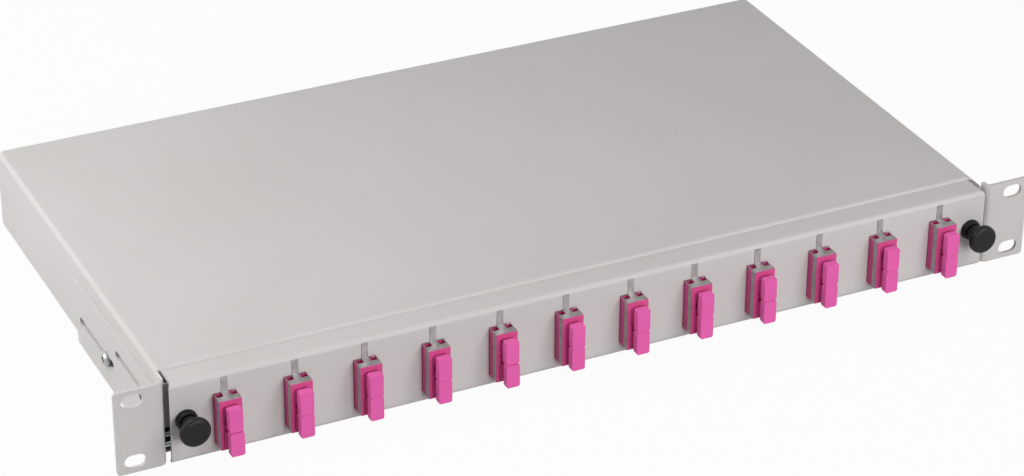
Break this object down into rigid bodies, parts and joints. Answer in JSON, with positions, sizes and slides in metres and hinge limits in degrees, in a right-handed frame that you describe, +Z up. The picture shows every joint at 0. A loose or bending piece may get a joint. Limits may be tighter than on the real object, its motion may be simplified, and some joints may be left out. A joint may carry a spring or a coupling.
{
  "type": "fibre patch panel",
  "caption": "Rack-mount fibre patch panel: a light grey steel case with a pull-out drawer, a row of magenta adapters with pink dust caps and black pull latches",
  "frame": {"origin": "middle of the four rack slots, on the rear faces of the two rack ears", "axes": "+X to the right seen from the front, +Y into the rack, +Z up"},
  "size_m": [0.4826, 0.2631, 0.0436],
  "materials": {
    "powder_coat": "fine-textured light grey powder coat on folded steel",
    "runner_steel": "bright zinc-plated steel",
    "fastener_steel": "zinc-plated steel",
    "spring_steel": "plain rolled stainless spring steel",
    "magenta_plastic": "moulded magenta thermoplastic",
    "pink_cap": "soft moulded pink plastic",
    "black_plastic": "black moulded nylon",
    "cassette_plastic": "dark grey moulded plastic",
    "clear_lid": "smoke-clear moulded lid",
    "sleeve_ceramic": "white polished ceramic"
  },
  "bodies": {
    "housing": {"housing_hood": "powder_coat", "base_plate": "powder_coat", "bracket_right": "powder_coat", "bracket_left": "powder_coat", "bracket_screws": "fastener_steel", "bracket_nuts": "fastener_steel", "case_screws": "fastener_steel", "entry_plugs": "black_plastic", "runner_outer_right": "runner_steel", "runner_outer_left": "runner_steel"},
    "drawer": {"front_panel": "powder_coat", "drawer_tray": "powder_coat", "runner_inner_right": "runner_steel", "runner_inner_left": "runner_steel", "runner_rivets": "fastener_steel", "adapter_clips": "spring_steel", "adapter_01": "magenta_plastic", "adapter_02": "magenta_plastic", "adapter_03": "magenta_plastic", "adapter_04": "magenta_plastic", "adapter_05": "magenta_plastic", "adapter_06": "magenta_plastic", "adapter_07": "magenta_plastic", "adapter_08": "magenta_plastic", "adapter_09": "magenta_plastic", "adapter_10": "magenta_plastic", "adapter_11": "magenta_plastic", "adapter_12": "magenta_plastic", "dust_caps_01": "pink_cap", "dust_caps_02": "pink_cap", "dust_caps_03": "pink_cap", "dust_caps_04": "pink_cap", "dust_caps_05": "pink_cap", "dust_caps_06": "pink_cap", "dust_caps_07": "pink_cap", "dust_caps_08": "pink_cap", "dust_caps_09": "pink_cap", "dust_caps_10": "pink_cap", "dust_caps_11": "pink_cap", "dust_caps_12": "pink_cap", "rear_dust_caps": "pink_cap", "latch_grommet_left": "black_plastic", "latch_grommet_right": "black_plastic", "cassette_studs": "black_plastic", "splice_cassette": "cassette_plastic", "splice_holders": "cassette_plastic", "fibre_guides": "cassette_plastic", "cassette_lid": "clear_lid", "alignment_sleeves": "sleeve_ceramic"},
    "latch_left": {"latch_plunger_left": "black_plastic"},
    "latch_right": {"latch_plunger_right": "black_plastic"}
  },
  "joints": [
    {"name": "drawer_slide", "type": "slide", "parent": "housing", "child": "drawer", "axis": [0, -1, 0], "range_m": [0, 0.17]},
    {"name": "latch_left_pull", "type": "slide", "parent": "drawer", "child": "latch_left", "axis": [0, -1, 0], "range_m": [0, 0.006]},
    {"name": "latch_right_pull", "type": "slide", "parent": "drawer", "child": "latch_right", "axis": [0, -1, 0], "range_m": [0, 0.006]}
  ]
}
